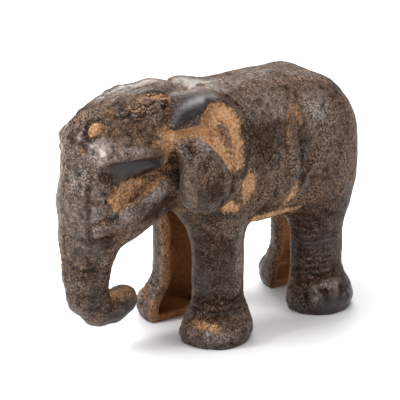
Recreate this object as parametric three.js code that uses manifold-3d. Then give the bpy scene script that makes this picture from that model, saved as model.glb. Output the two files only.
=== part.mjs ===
// Cast iron elephant figurine, one hollow casting. Millimetres, +Z up, facing -Y, left flank at +X.
import * as THREE from 'three';
import { mergeVertices } from 'three/addons/utils/BufferGeometryUtils.js';
import Module from 'manifold-3d';

// Driving sizes
const WALL = 3.5;
const LEG_GAP_HALF = 8;
const SOLE = 2.4;
const OUTER_CELL = 3;
const CORE_CELL = 5.2;
const HIND_STEP = 7;
const FAR_FOOT_FORWARD = 1.4;
const CENTRE_SHIFT = -0.3;

const TORSO = { at: [0, 12.5, 57], half: [23.4, 38.8, 22] };
const BACK = { at: [0, 22.3, 62.6], half: [18.4, 26, 16.1] };
const BELLY = { at: [6.5, 14, 48.5], half: [13.5, 24, 14.5] };
const HAUNCH = { at: [9, 34.6, 51], half: [12.8, 14.6, 25], pitch: 4 };
const SHOULDER = { at: [9.5, -5.5, 55], half: [12, 12.2, 24] };
const WITHERS = { at: [0, -5, 64.5], half: [13, 18, 12.2] };

const SKULL = { at: [0, -29.5, 67], half: [15, 19.6, 15] };
const DOME = { at: [5.6, -25, 69.6], radius: 11 };
const CHEEK = { at: [11.6, -35.5, 66], half: [6.8, 11.2, 6.8], pitch: 8 };
const JAW = { from: [6.5, -21, 54], to: [4.5, -36, 45], radii: [8, 8.5] };
const LIP = { from: [13.5, -25, 56], to: [10.5, -38, 46.5], radii: [3.6, 3.4] };

const TRUNK = [
  { y: -38.4, z: 63, r: 12.8 },
  { y: -42.4, z: 50, r: 11 },
  { y: -44, z: 38, r: 9.3 },
  { y: -45.7, z: 27, r: 7.1 },
  { y: -45.2, z: 19.5, r: 6.1 },
  { y: -41.8, z: 14.7, r: 5.4 },
  { y: -37, z: 14.2, r: 5 },
  { y: -33.3, z: 15.6, r: 4.9 },
];
const TIP_FACE = { y: -33, z: 19.2, slope: 0.12 };
const TUSK = { from: [11.2, -37.5, 47], to: [9.4, -47.4, 43.4], radii: [2.4, 1.9] };

const EAR = {
  lobes: [
    { y: -7.6, z: 68.3, r: 10.8 },
    { y: -19.4, z: 71.2, r: 7.2 },
    { y: -14.4, z: 58.6, r: 10.8 },
    { y: -16.8, z: 54.2, r: 7 },
  ],
  half_thickness: 2.4,
  bowl: { y: -8.6, z: 70.4, half_y: 7.4, half_z: 7.6, depth: 1.9 },
  lobe: { y: -18, z: 57.5, half_y: 8.5, half_z: 11.5, rise: 1.5 },
  sheet: { half: 22.2, centre_z: 56, rise: 23.4 },
  root_x: 6.5,
  far_drop: 1.5,
};
const SLIT = { from: [14.8, -46, 64], to: [19.4, -26, 62.4], radii: [1.9, 2.5] };

const FRONT_LEG = { x: 10.4, y: -4.6, rx: 8.8, ry: 8.3, foot_x: 11.5, foot_y: -6, foot_r: 12.1, knee: 46 };
const HIND_LEG = { x: 8.6, y: 35.3, rx: 8.8, ry: 9.6, foot_x: 9.8, foot_y: 36.2, foot_r: 12, knee: 46 };
const TAIL = { from: [0, 49.2, 64], to: [0, 52.3, 43], radii: [2.4, 2] };

// Distance helpers
const rad = (deg) => (deg * Math.PI) / 180;
const smin = (a, b, k) => {
  const h = Math.max(k - Math.abs(a - b), 0) / k;
  return Math.min(a, b) - h * h * k * 0.25;
};
const smax = (a, b, k) => -smin(-a, -b, k);

function ellipsoid(x, y, z, shape) {
  const [cx, cy, cz] = shape.at;
  const [rx, ry, rz] = shape.half;
  const a = rad(shape.pitch ?? 0);
  const dy = y - cy;
  const dz = z - cz;
  const px = x - cx;
  const py = dy * Math.cos(a) + dz * Math.sin(a);
  const pz = dz * Math.cos(a) - dy * Math.sin(a);
  const k0 = Math.hypot(px / rx, py / ry, pz / rz);
  const k1 = Math.hypot(px / (rx * rx), py / (ry * ry), pz / (rz * rz));
  return k1 < 1e-9 ? -Math.min(rx, ry, rz) : (k0 * (k0 - 1)) / k1;
}

function cone(x, y, z, from, to, radii) {
  const ab = [to[0] - from[0], to[1] - from[1], to[2] - from[2]];
  const ap = [x - from[0], y - from[1], z - from[2]];
  const dot = ab[0] * ap[0] + ab[1] * ap[1] + ab[2] * ap[2];
  const t = Math.min(Math.max(dot / (ab[0] ** 2 + ab[1] ** 2 + ab[2] ** 2), 0), 1);
  const away = Math.hypot(ap[0] - ab[0] * t, ap[1] - ab[1] * t, ap[2] - ab[2] * t);
  return away - (radii[0] + (radii[1] - radii[0]) * t);
}

const ramp = (v, lo, hi) => {
  const t = Math.min(Math.max((v - lo) / (hi - lo), 0), 1);
  return t * t * (3 - 2 * t);
};

// Leg with its spreading foot, as a full column
function leg(x, y, z, s) {
  const spread = 1 - ramp(z, 3, 15);
  const cx = s.x + (s.foot_x - s.x) * spread;
  const cy = s.y + (s.foot_y - s.y) * spread;
  const rx = s.rx + (s.foot_r - s.rx) * spread;
  const ry = s.ry + (s.foot_r - s.ry) * spread;
  const k = Math.hypot((x - cx) / rx, (y - cy) / ry);
  const side = (k - 1) * Math.min(rx, ry);
  const under = Math.max(0, 3 - z) * 0.35;
  return Math.max(smax(side + under, z - s.knee, 8), -4.5 - z);
}

// Ear outline in the Y-Z plane, and the sheet it lies in
function earOutline(y, z) {
  let d = 1e9;
  for (const lobe of EAR.lobes) d = smin(d, Math.hypot(y - lobe.y, z - lobe.z) - lobe.r, 6);
  return d;
}
function earSheet(x, z) {
  const { half, centre_z: cz, rise } = EAR.sheet;
  if (z < cz) return x - half + 0.008 * (cz - z) ** 2;
  return (Math.hypot(x / half, (z - cz) / rise) - 1) * half;
}

function earOval(y, z, o) {
  return 1 - ramp(Math.hypot((y - o.y) / o.half_y, (z - o.z) / o.half_z), 0.7, 1.1);
}

function ear(x, y, z) {
  const d = smax(earOutline(y, z), EAR.root_x - x, 3);
  const off = earSheet(x, z);
  const face = EAR.bowl.depth * earOval(y, z, EAR.bowl) - EAR.lobe.rise * earOval(y, z, EAR.lobe);
  return smax(d, Math.abs(off + 0.4) - EAR.half_thickness + (off > 0 ? face : 0), 2.2);
}

// Whole outer form, legs uncut
export function form(X, y, z) {
  const x = Math.abs(X);
  const back = X < 0 ? HIND_STEP - FAR_FOOT_FORWARD * ramp(z, 15, 3) : 0;
  const drop = X < 0 ? EAR.far_drop * ramp(z, 62, 74) : 0;
  let d = ellipsoid(x, y, z, TORSO);
  d = smin(d, ellipsoid(x, y, z, BELLY), 5);
  d = smin(d, ellipsoid(x, y, z, BACK), 4);
  d = smin(d, ellipsoid(x, y, z, WITHERS), 8);
  d = smin(d, ellipsoid(x, y, z, HAUNCH), 6);
  d = smin(d, ellipsoid(x, y, z, SHOULDER), 6);
  d = smin(d, leg(x, y, z, FRONT_LEG), 5);
  d = smin(d, leg(x, y - back, z, HIND_LEG), 5);
  let h = ellipsoid(x, y, z, SKULL);
  h = smin(h, Math.hypot(x - DOME.at[0], y - DOME.at[1], z - DOME.at[2]) - DOME.radius, 5);
  const bend = (a, b) => cone(x, y, z, [0, a.y, a.z], [0, b.y, b.z], [a.r, b.r]);
  let t = 1e9;
  for (let i = 0; i < 5; i += 1) t = smin(t, bend(TRUNK[i], TRUNK[i + 1]), 1.5);
  let tip = smin(bend(TRUNK[5], TRUNK[6]), bend(TRUNK[6], TRUNK[7]), 1.5);
  tip = smax(tip, z - TIP_FACE.z - TIP_FACE.slope * (y - TIP_FACE.y), 1.2);
  h = smin(h, smin(t, tip, 1.5), 4);
  h = smin(h, cone(x, y, z, JAW.from, JAW.to, JAW.radii), 4);
  h = smin(h, ellipsoid(x, y, z, CHEEK), 3);
  h = smin(h, cone(x, y, z, LIP.from, LIP.to, LIP.radii), 2);
  d = smin(d, h, 6);
  d = smax(d, -cone(x, y, z, SLIT.from, SLIT.to, SLIT.radii), 2.6);
  d = smin(d, cone(x, y, z, TUSK.from, TUSK.to, TUSK.radii), 0.8);
  d = smin(d, ear(x, y, z + drop), 2.6);
  d = smin(d, cone(x, y, z, TAIL.from, TAIL.to, TAIL.radii), 1.5);
  return d;
}

// Hollow: the form set in by the wall, stopping short of the trunk, above the soles
export function hollow(x, y, z) {
  return smax(smax(form(x, y, z) + WALL, -33 - y, 3), SOLE - z, 1);
}

// Turns the weakest corner of any cell whose inside or outside corners aren't all linked by edges
function settle(val, n, id) {
  const linked = (inside) => {
    const first = inside.indexOf(true);
    if (first < 0) return true;
    const seen = [first];
    for (const c of seen) {
      for (const bit of [1, 2, 4]) {
        const other = c ^ bit;
        if (inside[other] && !seen.includes(other)) seen.push(other);
      }
    }
    return seen.length === inside.filter(Boolean).length;
  };
  for (let round = 0; round < 12; round += 1) {
    let turned = 0;
    for (let k = 0; k + 1 < n[2]; k += 1) {
      for (let j = 0; j + 1 < n[1]; j += 1) {
        for (let i = 0; i + 1 < n[0]; i += 1) {
          const ids = [0, 1, 2, 3, 4, 5, 6, 7].map((c) => id(i + (c & 1), j + ((c >> 1) & 1), k + (c >> 2)));
          const inside = ids.map((q) => val[q] < 0);
          if (inside.every((v) => v === inside[0])) continue;
          let sound = linked(inside) && linked(inside.map((v) => !v));
          for (const bit of [1, 2, 4]) {
            const [u, w] = [1, 2, 4].filter((v) => v !== bit);
            for (const base of [0, bit]) {
              const f = [base, base | u, base | u | w, base | w].map((c) => inside[c]);
              if (f[0] === f[2] && f[1] === f[3] && f[0] !== f[1]) sound = false;
            }
          }
          if (sound) continue;
          const weak = ids.reduce((a, b) => (Math.abs(val[b]) < Math.abs(val[a]) ? b : a));
          val[weak] = val[weak] < 0 ? 0.3 : -0.3;
          turned += 1;
        }
      }
    }
    if (!turned) return;
  }
}

// Closed surface of a field by dual cells, each vertex drawn onto the true surface
export function skin(field, lo, hi, cell) {
  const n = [0, 1, 2].map((i) => Math.ceil((hi[i] - lo[i]) / cell) + 1);
  const id = (i, j, k) => i + n[0] * (j + n[1] * k);
  const val = new Float64Array(n[0] * n[1] * n[2]);
  for (let k = 0; k < n[2]; k += 1) {
    for (let j = 0; j < n[1]; j += 1) {
      for (let i = 0; i < n[0]; i += 1) {
        val[id(i, j, k)] = field(lo[0] + i * cell, lo[1] + j * cell, lo[2] + k * cell);
      }
    }
  }
  settle(val, n, id);
  const slot = new Int32Array(val.length).fill(-1);
  const pts = [];
  for (let k = 0; k + 1 < n[2]; k += 1) {
    for (let j = 0; j + 1 < n[1]; j += 1) {
      for (let i = 0; i + 1 < n[0]; i += 1) {
        let count = 0;
        const sum = [0, 0, 0];
        for (let e = 0; e < 12; e += 1) {
          const axis = e >> 2;
          const b = [e & 1, (e >> 1) & 1];
          const a0 = [0, 0, 0];
          a0[(axis + 1) % 3] = b[0];
          a0[(axis + 2) % 3] = b[1];
          const a1 = [...a0];
          a1[axis] = 1;
          const v0 = val[id(i + a0[0], j + a0[1], k + a0[2])];
          const v1 = val[id(i + a1[0], j + a1[1], k + a1[2])];
          if (v0 < 0 === v1 < 0) continue;
          const t = v0 / (v0 - v1);
          count += 1;
          for (let c = 0; c < 3; c += 1) sum[c] += a0[c] + (a1[c] - a0[c]) * t;
        }
        if (!count) continue;
        slot[id(i, j, k)] = pts.length;
        const p = [lo[0] + (i + sum[0] / count) * cell, lo[1] + (j + sum[1] / count) * cell, lo[2] + (k + sum[2] / count) * cell];
        pts.push(p);
      }
    }
  }
  // Draw the vertices onto the surface, by at most a third of a cell in all
  const h = 0.05;
  for (const p of pts) {
    const start = [...p];
    for (let pass = 0; pass < 2; pass += 1) {
      const v = field(...p);
      const g = [
        field(p[0] + h, p[1], p[2]) - field(p[0] - h, p[1], p[2]),
        field(p[0], p[1] + h, p[2]) - field(p[0], p[1] - h, p[2]),
        field(p[0], p[1], p[2] + h) - field(p[0], p[1], p[2] - h),
      ];
      const g2 = (g[0] ** 2 + g[1] ** 2 + g[2] ** 2) / (2 * h);
      if (g2 < 1e-6) break;
      for (let c = 0; c < 3; c += 1) {
        const move = (-v * g[c]) / g2;
        p[c] = Math.min(Math.max(p[c] + move, start[c] - cell * 0.33), start[c] + cell * 0.33);
      }
    }
  }
  const tris = [];
  const step = [1, n[0], n[0] * n[1]];
  for (let k = 1; k + 1 < n[2]; k += 1) {
    for (let j = 1; j + 1 < n[1]; j += 1) {
      for (let i = 1; i + 1 < n[0]; i += 1) {
        const here = id(i, j, k);
        for (let axis = 0; axis < 3; axis += 1) {
          const inA = val[here] < 0;
          const inB = val[here + step[axis]] < 0;
          if (inA === inB) continue;
          const u = step[(axis + 1) % 3];
          const w = step[(axis + 2) % 3];
          const q = [slot[here - u - w], slot[here - w], slot[here], slot[here - u]];
          if (inB) q.reverse();
          const span = (a, b) => Math.hypot(pts[a][0] - pts[b][0], pts[a][1] - pts[b][1], pts[a][2] - pts[b][2]);
          if (span(q[0], q[2]) < span(q[1], q[3])) tris.push(q[0], q[1], q[2], q[0], q[2], q[3]);
          else tris.push(q[1], q[2], q[3], q[1], q[3], q[0]);
        }
      }
    }
  }
  return { pts, tris };
}

const wasm = await Module();
wasm.setup();
const solidOf = (pts, tris) => new wasm.Manifold(new wasm.Mesh({
  numProp: 3,
  vertProperties: new Float32Array(pts.flat()),
  triVerts: new Uint32Array(tris),
}));

function boxSolid(lo, hi) {
  const g = new THREE.BoxGeometry(hi[0] - lo[0], hi[1] - lo[1], hi[2] - lo[2]);
  g.deleteAttribute('normal');
  g.deleteAttribute('uv');
  g.translate((lo[0] + hi[0]) / 2, (lo[1] + hi[1]) / 2, (lo[2] + hi[2]) / 2);
  const m = mergeVertices(g, 1e-6);
  return new wasm.Manifold(new wasm.Mesh({
    numProp: 3,
    vertProperties: new Float32Array(m.attributes.position.array),
    triVerts: new Uint32Array(m.index.array),
  }));
}

const outer = skin(form, [-29, -64, -9.3], [29, 66, 92], OUTER_CELL);
const core = skin(hollow, [-29, -64, -9.3], [29, 66, 92], CORE_CELL);
const slot = boxSolid([-LEG_GAP_HALF, -14, 20], [LEG_GAP_HALF, 47, 40]);
const gap = boxSolid([-LEG_GAP_HALF, -22, -2], [LEG_GAP_HALF, 60, 35.5]);
const ground = boxSolid([-60, -90, -30], [60, 90, 0]);
const casting = solidOf(outer.pts, outer.tris)
  .subtract(solidOf(core.pts, core.tris))
  .subtract(slot)
  .subtract(gap)
  .subtract(ground);

const largest = casting.decompose().reduce((a, b) => (b.volume() > a.volume() ? b : a));
const mesh = largest.getMesh();
const geometry = new THREE.BufferGeometry();
geometry.setAttribute('position', new THREE.BufferAttribute(new Float32Array(mesh.vertProperties), 3));
geometry.setIndex(new THREE.BufferAttribute(new Uint32Array(mesh.triVerts), 1));

const iron = new THREE.MeshStandardMaterial({ color: 0x4a3d37, metalness: 0.6, roughness: 0.6 });
const node = new THREE.Mesh(geometry, iron);
node.name = 'elephant_casting';
const part = new THREE.Group();
part.name = 'elephant_figurine';
part.add(node);
node.position.y = CENTRE_SHIFT;
export default part;
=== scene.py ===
"""Worn cast iron elephant figurine, one hollow casting, on a plain studio floor."""

import bpy
import numpy as np
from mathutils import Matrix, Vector


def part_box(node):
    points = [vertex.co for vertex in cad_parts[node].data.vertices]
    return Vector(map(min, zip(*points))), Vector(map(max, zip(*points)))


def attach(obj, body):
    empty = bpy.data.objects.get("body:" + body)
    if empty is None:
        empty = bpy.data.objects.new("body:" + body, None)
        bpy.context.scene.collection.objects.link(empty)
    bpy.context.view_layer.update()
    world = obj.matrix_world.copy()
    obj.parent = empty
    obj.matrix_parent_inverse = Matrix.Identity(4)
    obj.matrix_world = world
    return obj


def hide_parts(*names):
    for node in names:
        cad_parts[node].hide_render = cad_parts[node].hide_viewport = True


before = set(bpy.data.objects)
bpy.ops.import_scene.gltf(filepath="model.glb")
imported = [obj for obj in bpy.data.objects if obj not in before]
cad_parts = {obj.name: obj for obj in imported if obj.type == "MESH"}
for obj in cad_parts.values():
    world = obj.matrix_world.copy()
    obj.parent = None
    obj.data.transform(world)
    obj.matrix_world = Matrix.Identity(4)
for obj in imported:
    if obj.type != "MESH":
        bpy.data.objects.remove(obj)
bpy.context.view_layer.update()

bl_info = {
    "name": "Cast Iron Elephant",
    "version": (1, 0, 0),
    "blender": (4, 5, 0),
    "location": "View3D > Sidebar > Elephant",
    "description": "Builds a worn, hollow cast iron elephant figurine and a small studio for it",
    "category": "Add Mesh",
}

# Sizes in millimetres, as in the solid but for the first ear lobe and the far ear's drop
WALL = 3.5
HOLLOW_FRONT = -33
LEG_GAP_HALF = 8.0
LEG_GAP_TOP = 35.5
LEG_GAP_FRONT = -22
SLOT_TOP = 40
SLOT_FRONT = -14
SLOT_BACK = 47
SOLE = 2.4
HIND_STEP = 7.0
FAR_FOOT_FORWARD = 1.4
CENTRE_SHIFT = -0.3

TORSO = ((0, 12.5, 57), (23.4, 38.8, 22), 0)
BELLY = ((6.5, 14, 48.5), (13.5, 24, 14.5), 0)
BACK = ((0, 22.3, 62.6), (18.4, 26, 16.1), 0)
WITHERS = ((0, -5, 64.5), (13, 18, 12.2), 0)
HAUNCH = ((9, 34.6, 51), (12.8, 14.6, 25), 4)
SHOULDER = ((9.5, -5.5, 55), (12, 12.2, 24), 0)
SKULL = ((0, -29.5, 67), (15, 19.6, 15), 0)
DOME = ((5.6, -25, 69.6), 11.0)
CHEEK = ((11.6, -35.5, 66), (6.8, 11.2, 6.8), 8)
JAW = ((6.5, -21, 54), (4.5, -36, 45), (8, 8.5))
LIP = ((13.5, -25, 56), (10.5, -38, 46.5), (3.6, 3.4))
TRUNK = ((-38.4, 63, 12.8), (-42.4, 50, 11), (-44, 38, 9.3), (-45.7, 27, 7.1),
         (-45.2, 19.5, 6.1), (-41.8, 14.7, 5.4), (-37, 14.2, 5), (-33.3, 15.6, 4.9))
TIP_FACE = (-33, 19.2, 0.12)
TUSK = ((11.2, -37.5, 47), (9.4, -47.4, 43.4), (2.4, 1.9))
EAR_LOBES = ((-9.2, 69.5, 9.6), (-19.4, 71.2, 7.2), (-14.4, 58.6, 10.8), (-16.8, 54.2, 7))
EAR_HALF = 2.4
EAR_BOWL = ((-8.6, 70.4), (7.4, 7.6), 1.9)
EAR_LOBE = ((-18, 57.5), (8.5, 11.5), 1.5)
EAR_ROOT_X = 6.5
FAR_EAR_DROP = 2.6
SHEET = (22.2, 56.0, 23.4)
SLIT = ((14.8, -46, 64), (19.4, -26, 62.4), (1.9, 2.5))
FRONT_LEG = dict(x=10.4, y=-4.6, rx=8.8, ry=8.3, foot_x=11.5, foot_y=-6, foot_r=12.1, knee=46)
HIND_LEG = dict(x=8.6, y=35.3, rx=8.8, ry=9.6, foot_x=9.8, foot_y=36.2, foot_r=12, knee=46)
TAIL = ((0, 49.2, 64), (0, 52.3, 43), (2.4, 2.0))

# The mesh: surface step, the box that the lattice fills, how deep the relief can reach, layers worked
# out together, the step that a slope is measured over, and blurs at the full surface step
SURFACE_STEP = 0.78
LATTICE_LOW = (-28, -58, -2)
LATTICE_HIGH = (28, 60, 86)
RELIEF_REACH = 3.5
LAYERS_AT_ONCE = 12
SLOPE_STEP = 0.04
HOLLOW_ROUNDS = 14
SOFT_ROUNDS = 9

# The studio: softboxes as name, place and side in metres and power in watts, and the photo's lens
SOFTBOXES = (
    ("Overhead softbox", (-0.1, -0.15, 0.9), 1.0, 8.0),
    ("Front softbox", (-0.17, -0.65, 0.44), 0.2, 5.0),
    ("Side softbox", (0.64, 0.30, 0.37), 0.20, 1.1),
    ("Back softbox", (-0.49, 0.34, 0.54), 0.4, 3.2),
)
AIR_BRIGHTNESS = 0.42
FLOOR_HALF = 3.0
MIDDLE_HEIGHT = 0.044
SENSOR_WIDTH = 36
FOCAL_LENGTH = 169.2
PHOTO_WIDTH = 400
PHOTO_SHIFT = (-9.379, -11.141)


def smin(a, b, k):
    """The smaller of two values, with the step between them rounded over k."""
    h = np.maximum(k - np.abs(a - b), 0) / k
    return np.minimum(a, b) - h * h * k * 0.25


def smax(a, b, k):
    """The larger of two values, with the step between them rounded over k."""
    return -smin(-a, -b, k)


def ramp(v, lo, hi):
    """0 up to lo and 1 from hi on, with soft ends."""
    t = np.clip((v - lo) / (hi - lo), 0, 1)
    return t * t * (3 - 2 * t)


def ellipsoid(x, y, z, shape):
    """Distance to an ellipsoid given as centre, half sizes and pitch in degrees."""
    (cx, cy, cz), (rx, ry, rz), pitch = shape
    a = np.radians(pitch)
    dy, dz = y - cy, z - cz
    px = x - cx
    py = dy * np.cos(a) + dz * np.sin(a)
    pz = dz * np.cos(a) - dy * np.sin(a)
    k0 = np.sqrt((px / rx) ** 2 + (py / ry) ** 2 + (pz / rz) ** 2)
    k1 = np.sqrt((px / rx**2) ** 2 + (py / ry**2) ** 2 + (pz / rz**2) ** 2)
    return k0 * (k0 - 1) / np.maximum(k1, 1e-9)


def cone(x, y, z, a, b, r):
    """Distance to a round bar from a to b with a radius at each end."""
    ab = np.subtract(b, a).astype(float)
    px, py, pz = x - a[0], y - a[1], z - a[2]
    t = np.clip((ab[0] * px + ab[1] * py + ab[2] * pz) / (ab @ ab), 0, 1)
    away = np.sqrt((px - ab[0] * t) ** 2 + (py - ab[1] * t) ** 2 + (pz - ab[2] * t) ** 2)
    return away - (r[0] + (r[1] - r[0]) * t)


def leg(x, y, z, s):
    """Distance to a round leg that spreads into its foot."""
    spread = 1 - ramp(z, 3, 15)
    cx = s["x"] + (s["foot_x"] - s["x"]) * spread
    cy = s["y"] + (s["foot_y"] - s["y"]) * spread
    rx = s["rx"] + (s["foot_r"] - s["rx"]) * spread
    ry = s["ry"] + (s["foot_r"] - s["ry"]) * spread
    k = np.sqrt(((x - cx) / rx) ** 2 + ((y - cy) / ry) ** 2)
    side = (k - 1) * np.minimum(rx, ry)
    under = np.maximum(0, 3 - z) * 0.35
    return np.maximum(smax(side + under, z - s["knee"], 8), -4.5 - z)


def ear_outline(y, z):
    """Distance to the ear's outline, seen from the side."""
    d = np.full(np.shape(y), 1e9)
    for cy, cz, r in EAR_LOBES:
        d = smin(d, np.sqrt((y - cy) ** 2 + (z - cz) ** 2) - r, 6)
    return d


def ear_sheet(x, z):
    """Distance from the bent sheet that the ear lies on."""
    half, cz, rise = SHEET
    low = x - half + 0.008 * (cz - z) ** 2
    high = (np.sqrt((x / half) ** 2 + ((z - cz) / rise) ** 2) - 1) * half
    return np.where(z < cz, low, high)


def ear_oval(y, z, centre, half):
    """1 inside a soft oval on the ear, 0 outside it."""
    q = np.sqrt(((y - centre[0]) / half[0]) ** 2 + ((z - centre[1]) / half[1]) ** 2)
    return 1 - ramp(q, 0.7, 1.1)


def ear(x, y, z):
    """Distance to the ear: a bent sheet with a bowl in it and a full lobe below."""
    d = smax(ear_outline(y, z), EAR_ROOT_X - x, 3)
    off = ear_sheet(x, z)
    face = EAR_BOWL[2] * ear_oval(y, z, *EAR_BOWL[:2]) - EAR_LOBE[2] * ear_oval(y, z, *EAR_LOBE[:2])
    return smax(d, np.abs(off + 0.4) - EAR_HALF + np.where(off > 0, face, 0), 2.2)


def ear_drop(X, z):
    """The far ear sits a little lower than the near one."""
    return np.where(X < 0, FAR_EAR_DROP * ramp(z, 62, 74), 0)


def hind_step(X, z):
    """The far hind leg stands further back."""
    return np.where(X < 0, HIND_STEP - FAR_FOOT_FORWARD * ramp(-z, -15, -3), 0)


def form(X, y, z):
    """Distance to the whole elephant, solid and without its carving."""
    x = np.abs(X)
    back = hind_step(X, z)
    d = ellipsoid(x, y, z, TORSO)
    d = smin(d, ellipsoid(x, y, z, BELLY), 5)
    d = smin(d, ellipsoid(x, y, z, BACK), 4)
    d = smin(d, ellipsoid(x, y, z, WITHERS), 8)
    d = smin(d, ellipsoid(x, y, z, HAUNCH), 6)
    d = smin(d, ellipsoid(x, y, z, SHOULDER), 6)
    d = smin(d, leg(x, y, z, FRONT_LEG), 5)
    d = smin(d, leg(x, y - back, z, HIND_LEG), 5)
    h = ellipsoid(x, y, z, SKULL)
    (dx, dy, dz), dr = DOME
    h = smin(h, np.sqrt((x - dx) ** 2 + (y - dy) ** 2 + (z - dz) ** 2) - dr, 5)
    bends = [cone(x, y, z, (0, ya, za), (0, yb, zb), (ra, rb))
             for (ya, za, ra), (yb, zb, rb) in zip(TRUNK, TRUNK[1:])]
    t = bends[0]
    for bend in bends[1:5]:
        t = smin(t, bend, 1.5)
    tip = smin(bends[5], bends[6], 1.5)
    face_y, face_z, slope = TIP_FACE
    tip = smax(tip, z - face_z - slope * (y - face_y), 1.2)
    h = smin(h, smin(t, tip, 1.5), 4)
    h = smin(h, cone(x, y, z, *JAW), 4)
    h = smin(h, ellipsoid(x, y, z, CHEEK), 3)
    h = smin(h, cone(x, y, z, *LIP), 2)
    d = smin(d, h, 6)
    d = smax(d, -cone(x, y, z, *SLIT), 2.6)
    d = smin(d, cone(x, y, z, *TUSK), 0.8)
    d = smin(d, ear(x, y, z + ear_drop(X, z)), 2.6)
    d = smin(d, cone(x, y, z, *TAIL), 1.5)
    return d


def hashed(i, j, k, seed):
    """Repeatable random numbers from 0 to 1 for whole-number lattice points."""
    n = (i * 374761393 + j * 668265263 + k * 1274126177 + seed * 974634777) & 0x7FFFFFFF
    n = ((n ^ (n >> 13)) * 1103515245 + 12345) & 0x7FFFFFFF
    n = ((n ^ (n >> 16)) * 69069) & 0x7FFFFFFF
    return ((n >> 8) & 0xFFFF) / 65535.0


def noise(x, y, z, size, seed=0):
    """Smooth noise from -1 to 1 with lumps of the given size in millimetres."""
    px, py, pz = x / size + 100, y / size + 100, z / size + 100
    i, j, k = (np.floor(v).astype(np.int64) for v in (px, py, pz))
    fx, fy, fz = px - i, py - j, pz - k
    fx, fy, fz = (f * f * (3 - 2 * f) for f in (fx, fy, fz))
    total = 0
    for a in (0, 1):
        for b in (0, 1):
            for c in (0, 1):
                weight = (fx if a else 1 - fx) * (fy if b else 1 - fy) * (fz if c else 1 - fz)
                total = total + weight * hashed(i + a, j + b, k + c, seed)
    return total * 2 - 1


def near(x, y, z, centre, half):
    """Distance from a point in units of the half sizes of an oval."""
    return np.sqrt(((x - centre[0]) / half[0]) ** 2 + ((y - centre[1]) / half[1]) ** 2
                   + ((z - centre[2]) / half[2]) ** 2)


def spot(x, y, z, centre, half, soft=0.45):
    """1 inside an oval, fading to 0 at its edge."""
    return 1 - ramp(near(x, y, z, centre, half), 1 - soft, 1 + soft * 0.3)


def stroke(x, y, z, points, width):
    """1 on a bent line through the points, fading to 0 at its width."""
    best = None
    for a, b in zip(points, points[1:]):
        d = cone(x, y, z, a, b, (0, 0))
        best = d if best is None else np.minimum(best, d)
    return 1 - ramp(best, width * 0.25, width)


# Carving on the face, ears, skin and feet. Positive amounts cut in, negative ones stand out.

LIP_LINE = ((16.5, -26.2, 57.6), (15.4, -29, 56.4), (14.7, -32.1, 54), (13.9, -35, 51.9),
            (13, -38.7, 49.7), (12.1, -41.6, 48.2))
BAND_LINE = ((13.4, -41.8, 63), (14.3, -38.7, 62.9), (15.4, -32.4, 62.8), (15.6, -27.4, 62.8))
BAND_START = ((11.4, -46.4, 63.6), (13.4, -41.8, 63))
BAND_FURROW = ((12, -45.6, 60.6), (14.4, -41, 60.4), (14.2, -36, 59.8), (14, -30.6, 59.4))
BROW_LINE = ((2.6, -47.2, 75.2), (4.4, -44.6, 77.6), (7.2, -42.4, 77), (9, -42, 74.6))
CHEEK_LINE = ((12.6, -46, 66.8), (15, -44.2, 67.2), (17, -40.5, 68), (18, -35.8, 68), (17.8, -30.5, 67))
TRUNK_CREASE = ((8.6, -48.2, 61.6), (8.4, -48.9, 56.7), (8.7, -49.4, 52.3), (8.6, -49.6, 45))
EYE = ((6.3, -45.4, 73.9), (2.1, 2.6, 2.9))
NOSTRILS = ((3.4, -38.4, 19), (3.4, -34.8, 18.8))
FORE_NAILS = ((15.0, -16.6, 5.0), (20.3, -13.2, 4.6), (23.2, -6.0, 5.4))
HIND_NAILS = ((18.6, 28.6, 5.6), (20.2, 34.8, 8.4), (21.6, 40.6, 5.6))
NAIL_HALF = (2.4, 2.7, 3.4)
FLANK_FOLDS = (((12.2, 20.8, 77), (13.4, 20.3, 75.4), (21.3, 14.1, 66.1), (23, 12.8, 57)),
               ((12.8, 24, 76.4), (18.3, 19.8, 70.6), (22.4, 18.6, 62), (22.8, 19, 54)))

# Lines as amount, points and width, spots as amount, centre and half sizes
FACE_LINES = (
    (-0.3, CHEEK_LINE, 2),
    (0.6, BAND_LINE, 3.2),
    (0.5, BAND_START, 1.3),
    (1.3, BAND_FURROW, 2.8),
    (1.1, TRUNK_CREASE, 1.4),
    (-0.5, LIP_LINE, 2.0),
)
FACE_SPOTS = (
    (0.6, (5.4, -49, 69.2), (1, 1.4, 1.8)),
    (-0.6, (10.6, -46, 68), (5, 4.6, 4.6)),
    (-0.4, (15.8, -27, 62.6), (1.6, 2, 1.6)),
    (0.35, (10.6, -45, 55.5), (3.4, 4.4, 6)),
    (0.35, (12.2, -38.4, 56), (3.4, 6, 4.6)),
    (0.8, (12, -41.8, 48), (0.9, 0.8, 1.2)),
    (1.0, (9.9, -44.6, 52.9), (0.8, 0.8, 0.8)),
    (1.0, (4.9, -49.9, 60.8), (0.8, 0.8, 0.8)),
    (0.9, (8.6, -49.4, 43.9), (1.4, 1.2, 1.1)),
)
ONE_SIDE_SPOTS = (
    (-2.1, (-3.0, -17.6, 79.6), (6.6, 7.6, 4.4)),
    (0.5, (7.4, -24, 81.2), (2.6, 5, 2.6)),
    (0.7, (-11.6, -46, 67.6), (3, 3, 3.6)),
)
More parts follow.
